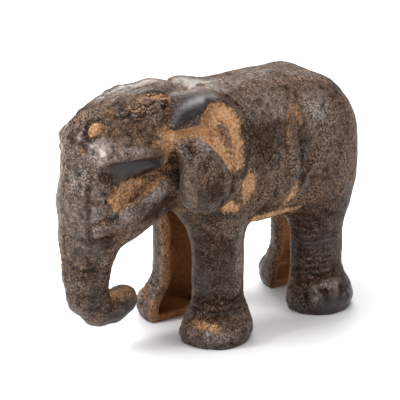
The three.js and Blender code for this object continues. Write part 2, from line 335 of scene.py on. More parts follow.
SKIN_LINES = (
    (0.6, FLANK_FOLDS[0], 1.2),
    (0.5, FLANK_FOLDS[1], 1.1),
    (0.7, ((22.6, 26, 60), (21.8, 19.5, 50), (19.8, 16.6, 42.5)), 2.4),
    (0.45, ((22, 4, 52), (19.6, 3, 43)), 2.2),
    (-0.7, ((17.6, 28.6, 9.6), (17.6, 28.9, 4)), 1.2),
    (-0.7, ((17.4, 30.4, 10.6), (20.4, 37.6, 10)), 1.2),
    (0.5, ((15, 26.6, 10.8), (17.8, 32, 12.4), (20, 38, 12)), 1.0),
    (0.5, ((13, -14.6, 9.8), (17.8, -12.6, 9.6), (20.6, -7, 9.4)), 0.9),
)

# The same for the ear, as places along the elephant and up it only
EAR_LINES = (
    (-1.1, ((-24.6, 75), (-19.6, 75.8), (-13, 77.4)), 3.2),
    (1.3, ((-28, 72), (-21, 71.3), (-14, 71.4)), 1.6),
    (-1.1, ((-11.6, 72.3), (-8.4, 70.6), (-6.8, 66)), 2.2),
    (0.9, ((-15, 70.6), (-12.6, 66.5), (-10.6, 63.2), (-9.6, 60.4)), 1.9),
    (0.3, ((-9.6, 60.4), (-6.4, 61.5)), 2.4),
)
EAR_SPOTS = (
    (0.9, (-8.4, 71.2), (6.8, 6.2)),
    (-0.2, (-18.6, 57.5), (6.6, 10)),
    (-0.9, (-9.4, 54.6), (4.2, 7)),
)


def ring(v, at, width):
    """1 where a value is at the given one, fading to 0 on both sides."""
    return np.exp(-(((v - at) / width) ** 2))


def carved(x, y, z, lines, spots=()):
    """Depth of a set of lines and spots."""
    cut = np.zeros_like(x)
    for amount, points, width in lines:
        cut += amount * stroke(x, y, z, points, width)
    for amount, centre, half in spots:
        cut += amount * spot(x, y, z, centre, half)
    return cut


def ear_line(y, z, points, width):
    """A stroke right through the ear from side to side."""
    return stroke(0 * y, y, z, [(0, *point) for point in points], width)


def ear_spot(y, z, centre, half, soft=0.45):
    """A spot right through the ear from side to side."""
    return spot(0 * y, y, z, (0, *centre), (1, *half), soft)


def ridges(x, y, z, size, seed):
    """1 on thin bent ridges, falling to -1 between them."""
    return 1 - np.abs(noise(x, y, z, size, seed)) * 2


def face_relief(X, x, y, z):
    """Eye, brow, cheek, band, mouth, tusk root and trunk, with the crust on the forehead."""
    q = near(x, y, z, *EYE)
    side = np.where(X < 0, 0.5, 1)
    cut = side * (0.75 * ring(q, 1.12, 0.24) - 0.75 * (1 - ramp(q, 0.35, 0.95)))
    cut -= 0.5 * side * stroke(x, y, z, BROW_LINE, 1.3)
    cut += carved(x, y, z, FACE_LINES, FACE_SPOTS)
    cut += carved(X, y, z, (), ONE_SIDE_SPOTS)
    cut += 0.25 * ridges(x, y, z, 1.3, 6) * spot(x, y, z, (12.4, -36.5, 56), (3, 6, 4))
    cut += 0.5 * ring(cone(x, y, z, *TUSK), 0.5, 0.35) * ramp(-y, 40.5, 43)
    parting = ring(X, -0.4, 2.1) * ramp(z, 74, 78) * ramp(y, -46, -38) * ramp(-y, 24, 31)
    forehead = spot(x, y, z, (9, -28, 79), (7.5, 17, 6))
    return cut + parting + 0.4 * forehead * ridges(x, y * 0.45, z, 1.7, 5)


def ear_relief(x, y, z):
    """Bowl, rolled edge, notch and crease of the ear, and the grooves round it."""
    d = ear_outline(y, z)
    sheet = ear_sheet(x, z)
    cut = -0.5 * ring(d, -1.4, 1.1) * ramp(z, 50, 58)
    for amount, points, width in EAR_LINES:
        cut += amount * ear_line(y, z, points, width)
    for amount, centre, half in EAR_SPOTS:
        cut += amount * ear_spot(y, z, centre, half)
    face = ramp(sheet, -1.5, 0.5) * ramp(-d, -0.6, 0.8)
    before = ring(y, -25.6, 0.8) * ramp(z, 49, 54) * ramp(-z, -73, -71) * ramp(x, 12, 15)
    behind = ring(d, 0.9, 0.8) * ramp(z, 60, 70) * ramp(sheet, -4, -2)
    return cut * face + 0.5 * before + 0.7 * behind


def wrinkle_wave(x, y, z):
    """The wave of the wrinkles across the hind legs."""
    return np.sin(z * 3.0 + 2.2 * noise(x, y, z, 5, 11))


def skin_relief(X, x, y, z):
    """Folds of the flank, wrinkles of the legs and trunk, and the toe nails."""
    cut = carved(x, y, z, SKIN_LINES)
    back = hind_step(X, z)
    hind = ramp(y - back, 22, 26) * ramp(z, 9, 14) * ramp(-z, -38, -30)
    some = ramp(noise(x, y, z, 8, 14), -0.3, 0.5) * (0.4 + 0.6 * ramp(-y, -38, -33))
    cut += 0.2 * hind * some * wrinkle_wave(x, y, z)
    fore = ramp(-y, -8, -4) * ramp(y, -20, -16) * ramp(z, 8, 10) * ramp(-z, -16, -13)
    cut += 0.16 * fore * np.sin(z * 3.9 + noise(x, y, z, 4, 12))
    trunk = ramp(-y, 34, 40) * ramp(-z, -60, -46)
    cut += 0.07 * trunk * np.sin(z * 2.9 + 1.2 * noise(x, y, z, 6, 13))
    for nails, shift in ((FORE_NAILS, 0), (HIND_NAILS, back)):
        for nail in nails:
            q = near(x, y - shift, z, nail, NAIL_HALF)
            cut += -0.6 * (1 - ramp(q, 0.1, 1.1)) + 0.25 * ring(q, 1.2, 0.3)
    return cut


def casting_relief(X, x, y, z):
    """The broken parting line of the mould, the uneven skin, its pits and the nostrils."""
    wander = 0.25 * noise(x, y, z, 11, 21)
    top = np.minimum(ramp(z, 58, 66) + ramp(-y, 42, 48) * ramp(z, 12, 20), 1)
    broken = 0.55 + 0.45 * noise(X * 0, y, z, 4, 22)
    cut = -0.3 * ring(X - wander, 0, 0.35) * top * broken
    cut += 0.16 * ring(X - wander, 0.95, 0.45) * top
    cut += 0.26 * noise(X, y, z, 9, 1) + 0.13 * noise(X, y, z, 3.4, 2) + 0.1 * noise(X, y, z, 1.7, 3)
    cut += 0.55 * np.maximum(noise(X, y, z, 1.9, 4) - 0.35, 0)
    for at in NOSTRILS:
        cut += spot(x, y, z, at, (0.9, 0.9, 1.5))
    return cut


def relief(X, y, z):
    """Depth of all the carving at a place on the skin."""
    x = np.abs(X)
    ears = ear_relief(x, y, z + ear_drop(X, z))
    return face_relief(X, x, y, z) + ears + skin_relief(X, x, y, z) + casting_relief(X, x, y, z)


def casting(X, y, z, wall, relief_depth):
    """Signed distance to the whole casting: skin with its carving, less the hollow and the gaps."""
    plain = form(X, y, z)
    skin = plain.copy()
    close = np.abs(plain) < RELIEF_REACH
    if close.any():
        skin[close] += relief_depth * relief(X[close], y[close], z[close])
    rough = 0.25 * noise(X, y, z, 3, 31)
    core = smax(smax(plain + wall + rough, HOLLOW_FRONT - y, 3), SOLE - z, 1)
    between = np.abs(X) - LEG_GAP_HALF
    gap = np.maximum(np.maximum(between, z - LEG_GAP_TOP), LEG_GAP_FRONT - y)
    slot = np.maximum(np.maximum(between, z - SLOT_TOP), np.maximum(SLOT_FRONT - y, y - SLOT_BACK))
    d = smax(skin, -core, 0.7)
    d = smax(d, -np.minimum(gap, slot), 0.7)
    return smax(d, -z, 0.4)


# Surface of the casting as quads

def lattice(field, lo, hi, cell):
    """Field values on a regular lattice, computed a few layers at a time."""
    axes = [np.arange(lo[i], hi[i] + cell, cell) for i in range(3)]
    x, y = np.meshgrid(axes[0], axes[1], indexing="ij")
    layers = []
    for part in np.array_split(axes[2], max(1, len(axes[2]) // LAYERS_AT_ONCE)):
        shape = (len(axes[0]), len(axes[1]), len(part))
        places = (x[..., None], y[..., None], part[None, None, :])
        layers.append(field(*(np.broadcast_to(v, shape).copy() for v in places)))
    return np.concatenate(layers, axis=2)


def crossing_centres(values, cells):
    """The mean, in each cell, of the places where the surface crosses the cell's edges."""
    total = np.zeros((len(cells), 3))
    crossed = np.zeros(len(cells))
    for axis, b, c in np.ndindex(3, 2, 2):
        start = np.zeros(3, int)
        start[(axis + 1) % 3] = b
        start[(axis + 2) % 3] = c
        end = start.copy()
        end[axis] = 1
        v0 = values[tuple((cells + start).T)]
        v1 = values[tuple((cells + end).T)]
        cut = (v0 < 0) != (v1 < 0)
        t = np.where(cut, v0 / np.where(cut, v0 - v1, 1), 0)
        total += np.where(cut[:, None], start + (end - start) * t[:, None], 0)
        crossed += cut
    return total / crossed[:, None]


def drawn_in(field, points, reach):
    """The points moved onto the surface in two steps, none of them further than the reach."""
    start = points.copy()
    for _ in range(2):
        v = field(*points.T.copy())
        grad = np.stack([field(*(points + e).T.copy()) - field(*(points - e).T.copy())
                         for e in np.eye(3) * SLOPE_STEP], axis=1) / (2 * SLOPE_STEP)
        move = -v[:, None] * grad / np.maximum((grad**2).sum(1), 0.05)[:, None]
        points = np.clip(points + move, start - reach, start + reach)
    return points


def joined(inside, index):
    """A quad across every lattice edge that the surface crosses, facing outwards."""
    n = index.shape
    quads = []
    for axis in range(3):
        u, w, step = np.zeros((3, 3), int)
        u[(axis + 1) % 3] = 1
        w[(axis + 2) % 3] = 1
        step[axis] = 1
        here = inside[1:n[0], 1:n[1], 1:n[2]]
        there = inside[tuple(slice(1 + step[i], n[i] + step[i]) for i in range(3))]
        change = np.argwhere(here != there) + 1
        quad = np.stack([index[tuple((change - o).T)] for o in (u + w, w, 0 * u, u)], axis=1)
        flip = ~inside[tuple(change.T)]
        quad[flip] = quad[flip][:, ::-1]
        quads.append(quad)
    return np.concatenate(quads)


def surface(field, lo, hi, cell):
    """One vertex for each lattice cell that the surface crosses, drawn onto the surface, and quads."""
    values = lattice(field, lo, hi, cell)
    inside = values < 0
    n = [size - 1 for size in values.shape]
    count = np.zeros(n, np.int8)
    for i, j, k in np.ndindex(2, 2, 2):
        count += inside[i:n[0] + i, j:n[1] + j, k:n[2] + k]
    cells = np.argwhere((count > 0) & (count < 8))
    index = np.full(n, -1, np.int64)
    index[tuple(cells.T)] = np.arange(len(cells))
    points = np.array(lo) + (cells + crossing_centres(values, cells)) * cell
    return drawn_in(field, points, cell * 0.4), joined(inside, index)


def whole(points, quads):
    """The largest connected surface, without grains left loose beside it."""
    label = np.arange(len(points))
    while True:
        new = label.copy()
        np.minimum.at(new, quads.ravel(), np.repeat(label[quads].min(1), 4))
        new = new[new]
        if (new == label).all():
            break
        label = new
    keep = label == np.bincount(label).argmax()
    number = np.cumsum(keep) - 1
    return points[keep], number[quads[keep[quads[:, 0]]]]


# Masks for the finish, painted shade and painted highlights among them: 0 to 1 at each vertex. Spots are
# centre, half sizes and amount.

RUST_SPOTS = (
    ((5.4, -49.2, 69.0), (1.0, 1.5, 1.9), 0.8),
    ((7.6, -23.0, 81.0), (4.0, 6.5, 3.0), 0.95),
    ((9.5, -27.0, 79.5), (6.0, 15.0, 4.5), 0.26),
    ((4.0, -42.0, 77.5), (6.0, 5.0, 5.0), 0.22),
    ((11.8, -41.8, 53.2), (2.4, 2.2, 4.2), 0.95),
    ((12.2, -38.0, 55.6), (3.0, 6.0, 4.6), 0.62),
    ((17.8, -28.0, 70.6), (3.4, 4.8, 5.0), 0.55),
    ((22.2, -1.4, 51.5), (3.6, 3.2, 6.4), 0.85),
    ((21.0, -7.4, 45.6), (3.4, 2.6, 2.4), 0.85),
    ((17.0, -14.0, 7.6), (8.0, 7.0, 1.6), 1.0),
    ((19.8, 16.6, 43.5), (3.4, 3.4, 8.0), 0.6),
    ((14.0, 12.0, 37.5), (11.0, 14.0, 2.8), 0.6),
    ((0.5, -36.0, 19.4), (6.8, 6.8, 3.4), 0.95),
    ((14.0, -6.0, 41.0), (8.0, 8.0, 4.0), 0.5),
    ((14.0, -3.0, 30.0), (7.0, 12.0, 9.0), 0.18),
)
# Dark patches, most of them painted shade: under the cheek ledge, in the tusk's end, under the trunk tip,
# under the ear lobe and in the gap before the ear, under the jaw and the body, and down the legs in the
# body's shadow. The others darken the lower ear lobe and the flank, and the trunk and feet towards the
# bottom.
DARK_AND_SHADE_SPOTS = (
    ((12.0, -46.0, 62.4), (3.2, 2.6, 2.6), 0.9),
    ((8.6, -49.4, 43.6), (1.8, 1.6, 1.6), 1.0),
    ((4.0, -36.0, 13.2), (7.0, 9.0, 4.0), 1.0),
    ((22.8, 19.4, 57.0), (5.0, 2.6, 10.0), 0.6),
    ((20.0, -12.0, 44.2), (6.0, 7.0, 2.6), 0.85),
    ((23.0, -9.6, 55.5), (4.0, 4.0, 7.5), 0.5),
    ((12.5, -30.0, 50.0), (4.5, 10.0, 4.4), 0.75),
    ((5.0, -46.0, 39.5), (7.0, 8.0, 4.0), 0.5),
    ((20.0, -23.6, 59.0), (5.0, 2.4, 12.5), 1.0),
    ((23.0, -16.0, 52.0), (5.0, 7.0, 7.0), 0.6),
    ((16.0, -4.0, 24.0), (9.0, 11.0, 16.0), 0.55),
    ((14.4, -11.6, 21.0), (5.0, 6.0, 9.0), 0.85),
    ((4.0, -48.0, 24.0), (9.0, 9.0, 12.0), 0.15),
    ((10.0, 0.0, 33.0), (14.0, 30.0, 12.0), 0.3),
    ((14.0, 36.0, 26.0), (10.0, 16.0, 20.0), 0.62),
    ((16.0, -6.0, 2.0), (14.0, 14.0, 4.0), 0.7),
    ((16.0, 38.0, 3.0), (14.0, 18.0, 7.0), 0.9),
    ((21.0, 8.0, 64.0), (6.0, 7.0, 10.0), 0.35),
)
# Painted highlights: pale patches where light catches the cheekbone, cheek rim, ear lobe, flank, hip, the
# lit side of the fore leg, the tops of jaw and tusk, the front of the trunk and the toes.
PAINTED_HIGHLIGHT_SPOTS = (
    ((10.6, -46.0, 68.4), (5.0, 4.6, 5.4), 1.0),
    ((16.8, -40.0, 68.6), (3.0, 7.0, 1.6), 0.6),
    ((21.4, -16.6, 67.8), (3.4, 4.2, 3.2), 1.0),
    ((18.4, 27.4, 70.4), (5.0, 5.6, 7.5), 1.0),
    ((16.0, 10.0, 73.0), (8.0, 10.0, 6.0), 0.45),
    ((18.0, 0.4, 30.0), (4.0, 4.6, 16.0), 0.6),
    ((14.8, -32.0, 54.0), (3.0, 6.0, 2.6), 1.0),
    ((20.0, 28.0, 66.0), (6.0, 9.0, 9.0), 0.3),
    ((19.4, 34.4, 10.2), (3.0, 5.4, 1.5), 1.0),
    ((17.4, 28.8, 7.0), (2.4, 1.5, 4.2), 1.0),
    ((20.0, -11.5, 4.8), (6.0, 7.0, 2.6), 0.5),
    ((6.0, -50.0, 52.0), (9.0, 7.0, 20.0), 0.5),
    ((12.8, -40.0, 48.6), (2.2, 7.0, 3.0), 0.7),
)
# Painted reflection of the bright backdrop along the top of the neck and the far side of the head.
CROWN_REFLECTION_SPOTS = (
    ((0.0, -10.0, 79.0), (9.0, 14.0, 4.0), 0.8),
    ((-5.0, -28.0, 81.0), (5.5, 18.0, 5.0), 1.0),
)
CRUST_SPOTS = (
    ((9, -28, 79.5), (8.5, 18, 6.5), 1.0),
    ((3, -48, 66), (6, 6, 22), 0.7),
    ((16, -12, 9), (10, 8, 4), 0.8),
)
# Painted shade: black in the two small deep holes, and painted shadows at the tusk's ends.
BLACK_SHADE_SPOTS = (
    ((9.9, -44.6, 52.9), (0.7, 0.7, 0.7), 1.0),
    ((4.9, -49.9, 60.8), (0.7, 0.7, 0.7), 1.0),
    ((9.4, -49.2, 43.0), (2.0, 1.2, 0.8), 1.0),
    ((11.9, -42.3, 47.9), (1.2, 1.8, 1.2), 1.0),
)
EAR_NOTCH = ((-27, 72), (-21, 71.3), (-14, 71.6))
EAR_CREASE = ((-16, 70.2), (-12.6, 66.5), (-10.6, 63.2), (-9.2, 60.4))
EAR_MARGIN = ((-5.4, 67), (-6.6, 60))
EAR_FLAP_TOP = ((-25.5, 74.4), (-24.5, 76), (-19, 76.6), (-12, 78.6), (-6, 79.4), (-2, 78))
EAR_FLAP_BACK = ((-2, 78), (0.6, 73.6), (-0.6, 68), (-2.4, 62), (-4, 56))


def blots(spots, x, y, z, soft=0.6):
    """The strongest of a table of soft spots at each place."""
    total = 0 * x
    for at, half, much in spots:
        total = np.maximum(total, much * spot(x, y, z, at, half, soft))
    return total


def wandering(v, X, y, z, seed):
    """A coordinate shifted by noise, so that the edge of a stain wanders."""
    return v + 1.5 * noise(X, y, z, 5, seed) + 0.6 * noise(X, y, z, 1.6, seed)


def eye_stains(X, x, y, z, rust, dark):
    """Rust in the eyes and a ring of painted shade in the crease round each, and less rust on the far side
    of the face.
    """
    lid = near(x, y, z, *EYE)
    face_rust = rust * (1 - 0.7 * ramp(-X, 2, 6) * ramp(-y, 36, 42))
    eye_rust = (1 - ramp(lid, 0.7, 1.0)) * np.where(X < 0, 0.5, 1)
    # Painted shade in the crease round the eye, on its side towards the trunk.
    rim = 0.85 * ring(lid, 1.3, 0.2) * ramp(-y - x, 33, 38)
    return np.maximum(face_rust, eye_rust), np.maximum(dark, rim)


def ear_stains(X, x, y, z, rust, dark):
    """Rust in the bowl, crease, margin and notch of the ears, and their dark folded edge."""
    ez = z + ear_drop(X, z)
    face = ramp(ear_sheet(x, ez), -1.5, 0.3) * ramp(-ear_outline(y, ez), -0.8, 0.6) * ramp(x, 5, 8)
    bowl = ear_spot(y, ez, (-9.0, 71.6), (6.9, 6.6), 0.35)
    lump = ear_spot(y, ez, (-8.6, 69.4), (2.5, 4.4), 0.3)
    notch = ear_line(y, ez, EAR_NOTCH, 1.8)
    crease = ear_line(y, ez, EAR_CREASE, 2.4)
    margin = ear_line(y, ez, EAR_MARGIN, 3.0) * 0.7
    flap = face * np.maximum(ear_line(y, ez, EAR_FLAP_TOP, 3.0), ear_line(y, ez, EAR_FLAP_BACK, 1.7))
    ear_rust = np.maximum(np.maximum(bowl, crease), np.maximum(margin, notch))
    rust = np.maximum(rust, face * ear_rust * (1 - 0.7 * lump) * np.where(X < 0, 0.7, 1))
    rust = rust * (1 - 0.95 * flap * (1 - notch))
    return rust, np.maximum(dark, flap * (1 - notch)), flap


def line_stains(x, y, z, wy, wz, rust, dark):
    """Rust along the mouth, the flank folds and the gap before the ear, and the dark band of painted shade
    under the cheek ledge.
    """
    seam = stroke(x, y, z, [(px, py, pz + 1.9) for px, py, pz in LIP_LINE], 1.9)
    rust = np.maximum(rust, 0.95 * seam * ramp(y, -40, -30) + 0.5 * seam)
    folds = np.maximum(stroke(x, y, z, FLANK_FOLDS[0], 2.0), stroke(x, y, z, FLANK_FOLDS[1], 1.6))
    rust = np.maximum(rust, 0.4 * folds * ramp(noise(x, y, z * 0.5, 2.5, 41), -0.2, 0.5))
    # Painted shade on the downward-facing band under the cheek ledge.
    band = stroke(x, wy, wz + 0.7, BAND_LINE, 5.6)
    gap = ring(y, -26.6, 1.0) * ramp(z, 58, 61) * ramp(-z, -72, -70) * ramp(x, 12, 15)
    return np.maximum(rust * (1 - band), gap), np.maximum(dark, 0.95 * band)


def leg_wrinkles(X, x, y, z, dark):
    """Painted shade in the wrinkle grooves of the near hind leg, and a dark line round the fore ankles."""
    shin = ramp(y, 24, 27) * ramp(-y, -38, -35) * ramp(z, 13, 16) * ramp(-z, -30, -27) * ramp(X, 8, 12)
    # Painted shade in the grooves of the wrinkles.
    dark = np.maximum(dark, shin * ramp(wrinkle_wave(x, y, z), 0.1, 0.8))
    ankle = ring(z + noise(x, y, z, 3, 42), 11.2, 0.6) * ramp(-y, 4, 8) * ramp(y, -22, -18)
    return np.maximum(dark, ankle * ramp(noise(x, y, z, 2.2, 43), -0.5, 0.1))


def black_marks(x, y, z):
    """Black painted shade in the small deep holes and along the broken crease of the trunk, and painted
    shadows at the tusk's ends.
    """
    crease = 0.75 * stroke(x, y, z, TRUNK_CREASE, 1.1) * ramp(noise(x, y, z, 2.2, 44), -0.9, -0.1)
    return np.maximum(blots(BLACK_SHADE_SPOTS, x, y, z, 0.45), crease)


def crusted(x, y, z):
    """Where the scale is thick enough to crack: forehead, trunk and fore feet."""
    trunk = 0.6 * ramp(-y, 39, 42) * ramp(z, 10, 16) * ramp(-x, -10, -8)
    return np.maximum(blots(CRUST_SPOTS, x, y, z, 0.45), trunk)


def finish_masks(points, under):
    """Each mask at each vertex, from its place and how far it lies under the skin around it."""
    X, y, z = points.T
    x = np.abs(X)
    wx = wandering(x, X, y, z, 51)
    wy = wandering(y, X, y, z, 52)
    wz = wandering(z, X, y, z, 53)
    far_side = np.where(X < 0, np.clip(0.65 + 0.6 * noise(X, y, z, 9, 54), 0, 1), 1)
    far_crown = ramp(-X, 0.2, 1.5) * ramp(z, 74, 77) * ramp(-y, 12, 16)
    rust = blots(RUST_SPOTS, wx, wy, wz) * far_side * (1 - 0.75 * far_crown)
    # Dark mask: mostly painted shade, with some darker iron.
    dark = blots(DARK_AND_SHADE_SPOTS, wx, wy, wz)
    # Pale mask: painted highlights and painted reflections from the tables above, with the wear on raised
    # places added below.
    wear_and_highlight = np.maximum(blots(PAINTED_HIGHLIGHT_SPOTS, x, y, z), blots(CROWN_REFLECTION_SPOTS, X, y, z))
    rust, dark = eye_stains(X, x, y, z, rust, dark)
    rust, dark, flap = ear_stains(X, x, y, z, rust, dark)
    rust, dark = line_stains(x, y, z, wy, wz, rust, dark)
    rust = np.clip(rust + 0.9 * np.clip(under, 0, 0.4) * (1 - dark), 0, 1)
    wear_and_highlight = np.clip(wear_and_highlight + np.clip(-under * 1.2, 0, 0.35), 0, 1) * (1 - rust) * (1 - 0.9 * flap)
    rim = ring(x, LEG_GAP_HALF, 0.9) * ramp(-z, -44, -38) * ramp(y, -24, -20)
    return {
        "rust": np.maximum(rust, 0.58 * rim),
        "dark": leg_wrinkles(X, x, y, z, dark),
        "wear_and_highlight": wear_and_highlight,
        "crust": crusted(x, y, z),
        "inner": ramp(-form(X, y, z), 1.6, 2.6),
        "black": black_marks(x, y, z),
    }


def neighbours(quads, total):
    """Both ends of every edge of the quads, and how many neighbours each vertex has."""
    ends = np.concatenate([quads[:, [i, (i + 1) % 4]] for i in range(4)])
    a, b = np.concatenate([ends, ends[:, ::-1]]).T
    return a, b, np.maximum(np.bincount(a, minlength=total), 1)


def softened(values, quads, rounds):
    """A mask half blurred over the surface, so that stains and painted shade fade out instead of stopping.
    """
    a, b, number = neighbours(quads, len(values))
    blurred = values
    for _ in range(rounds):
        blurred = np.bincount(a, blurred[b], len(values)) / number
    return 0.4 * values + 0.6 * blurred


def hollowness(points, quads, rounds):
    """How far each vertex lies under the smoothed surface around it, in millimetres."""
    a, b, number = neighbours(quads, len(points))
    total = len(points)
    side = np.cross(points[quads[:, 2]] - points[quads[:, 0]], points[quads[:, 3]] - points[quads[:, 1]])
    normal = np.stack([np.bincount(quads.ravel(), np.repeat(side[:, i], 4), total) for i in range(3)], 1)
    normal /= np.maximum(np.linalg.norm(normal, axis=1), 1e-9)[:, None]
    soft = points.copy()
    for _ in range(rounds):
        soft = np.stack([np.bincount(a, soft[b, i], total) for i in range(3)], 1) / number[:, None]
    return ((soft - points) * normal).sum(1)


def mesh_masks(points, quads, cell):
    """The masks on a mesh, with soft rust stains, soft dark patches that are mostly painted shade and sharp
    black marks of painted shade, the same on a coarser mesh.
    """
    finer = (SURFACE_STEP / cell) ** 2
    hollow = hollowness(points, quads, max(4, int(HOLLOW_ROUNDS * finer)))
    masks = finish_masks(points, hollow)
    for name in ("rust", "dark"):
        masks[name] = softened(masks[name], quads, max(2, int(SOFT_ROUNDS * finer)))
    black = masks.pop("black")
    masks["dark"] = np.maximum(masks["dark"], black)
    masks["rust"] = masks["rust"] * (1 - black)
    return masks


def placed_in_frame(points):
    """The points in metres in the shared frame, kept inside the solid's own box."""
    low, high = (np.array(v) * 1000 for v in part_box("elephant_casting"))
    placed = points + (0, CENTRE_SHIFT, 0)
    over = np.maximum(placed.max(0) / high, placed.min(0) / np.minimum(low, -1e-3))
    return np.clip(placed / np.maximum(over, 1), low, high) / 1000


# Colours that the panel doesn't hold, and shader parts

DUST_COLOUR = (0.30, 0.19, 0.125, 1)
# Black scale, also used as painted shade where the dark mask holds shade.
SCALE_AND_SHADE_COLOUR = (0.032, 0.025, 0.024, 1)
DEEP_RUST_COLOUR = (0.40, 0.185, 0.080, 1)
BRIGHT_RUST_COLOUR = (0.66, 0.395, 0.225, 1)
HOLLOW_RUST_COLOUR = (0.44, 0.18, 0.060, 1)
PIT_COLOUR = (0.010, 0.007, 0.006, 1)
CRACK_COLOUR = (0.008, 0.005, 0.004, 1)


def put(tree, kind, place, **settings):
    """A new node at a place in the tree, with its settings."""
    node = tree.nodes.new(kind)
    node.location = place
    for key, value in settings.items():
        setattr(node, key, value)
    return node


def feed(tree, entry, value):
    """Gives an entry of a node a plain value, or links another node's output to it."""
    if isinstance(value, (int, float, tuple)):
        entry.default_value = value
    else:
        tree.links.new(value, entry)


def math(tree, operation, a, b, place, clamp=False):
    node = put(tree, "ShaderNodeMath", place, operation=operation, use_clamp=clamp)
    feed(tree, node.inputs[0], a)
    feed(tree, node.inputs[1], b)
    return node.outputs[0]


def steps(tree, value, low, high, place):
    """A value stretched so that low becomes 0 and high becomes 1, with soft ends."""
    node = put(tree, "ShaderNodeMapRange", place, interpolation_type="SMOOTHSTEP")
    for entry, what in zip(node.inputs, (value, low, high)):
        feed(tree, entry, what)
    return node.outputs[0]


def mix(tree, factor, a, b, place):
    """Colour a with colour b laid over it by the factor."""
    node = put(tree, "ShaderNodeMix", place, data_type="RGBA")
    for slot, value in ((0, factor), (6, a), (7, b)):
        feed(tree, node.inputs[slot], value)
    return node.outputs[2]


def grain(tree, size, detail, rough, place, source):
    """Noise with lumps of the given size in metres."""
    node = put(tree, "ShaderNodeTexNoise", place)
    node.inputs["Scale"].default_value = 1 / size
    node.inputs["Detail"].default_value = detail
    node.inputs["Roughness"].default_value = rough
    tree.links.new(source, node.inputs["Vector"])
    return node.outputs["Fac"]


def new_group(name, inputs, outputs):
    """An empty node group with named sockets, its entry and exit nodes and the object's own space."""
    tree = bpy.data.node_groups.new(name, "ShaderNodeTree")
    for label, value in inputs.items():
        entry = tree.interface.new_socket(name=label, in_out="INPUT", socket_type="NodeSocketFloat")
        entry.default_value = value
    for label, kind in outputs.items():
        tree.interface.new_socket(name=label, in_out="OUTPUT", socket_type=kind)
    enter = put(tree, "NodeGroupInput", (-900, 0))
    leave = put(tree, "NodeGroupOutput", (600, 0))
    place = put(tree, "ShaderNodeTexCoord", (-1100, -300)).outputs["Object"]
    return tree, enter, leave, place


def cast_skin_group():
    """Sand-cast skin: pits and grit, as masks and a height."""
    outputs = dict.fromkeys(("Pits", "Mottle", "Dust", "Height"), "NodeSocketFloat")
    tree, enter, leave, place = new_group("Cast skin", {"Pit depth": 1.0}, outputs)
    coarse = grain(tree, 0.0021, 4, 0.65, (-600, 300), place)
    fine = grain(tree, 0.00058, 3, 0.65, (-600, 50), place)
    broad = grain(tree, 0.009, 3, 0.55, (-600, -200), place)
    pits = steps(tree, coarse, 0.42, 0.30, (-350, 300))
    specks = steps(tree, fine, 0.53, 0.43, (-350, 50))
    patchy = steps(tree, broad, 0.36, 0.60, (-350, -50))
    thick = math(tree, "ADD", math(tree, "MULTIPLY", patchy, 0.75, (-250, -50)), 0.2, (-200, -50))
    both = math(tree, "MAXIMUM", pits, math(tree, "MULTIPLY", specks, thick, (-150, 50)), (-50, 200))
    dust = steps(tree, fine, 0.53, 0.64, (-350, -100))
    mottle = math(tree, "ADD", math(tree, "MULTIPLY", broad, 0.55, (-350, -200)),
                  math(tree, "MULTIPLY", coarse, 0.45, (-350, -350)), (-150, -200))
    depth = math(tree, "MULTIPLY", enter.outputs[0], -0.9, (-150, 50))
    low = math(tree, "MULTIPLY", both, depth, (50, 100))
    height = math(tree, "ADD", low, math(tree, "MULTIPLY", fine, 0.5, (50, -50)), (250, 50))
    for output, entry in zip((both, mottle, dust, height), leave.inputs):
        tree.links.new(output, entry)
    return tree


def rust_group():
    """Where rust lies and how bright it is, from a mask broken up by grit."""
    outputs = {"Rust": "NodeSocketFloat", "Colour": "NodeSocketColor"}
    tree, enter, leave, place = new_group("Rust in hollows", {"Mask": 0.0, "Amount": 1.0}, outputs)
    lumps = grain(tree, 0.0032, 4, 0.65, (-600, 200), place)
    grit = grain(tree, 0.0008, 3, 0.7, (-600, -100), place)
    spread = math(tree, "ADD", math(tree, "MULTIPLY", lumps, 0.9, (-350, 200)),
                  math(tree, "MULTIPLY", grit, 0.5, (-350, 50)), (-200, 150))
    mask = math(tree, "MULTIPLY", enter.outputs[0], enter.outputs[1], (-350, 350))
    edge = math(tree, "ADD", mask, math(tree, "SUBTRACT", spread, 0.7, (-50, 150)), (100, 300))
    bright = steps(tree, grit, 0.35, 0.65, (100, -100))
    tree.links.new(steps(tree, edge, 0.12, 0.80, (250, 300)), leave.inputs[0])
    tree.links.new(mix(tree, bright, DEEP_RUST_COLOUR, BRIGHT_RUST_COLOUR, (250, -100)), leave.inputs[1])
    return tree


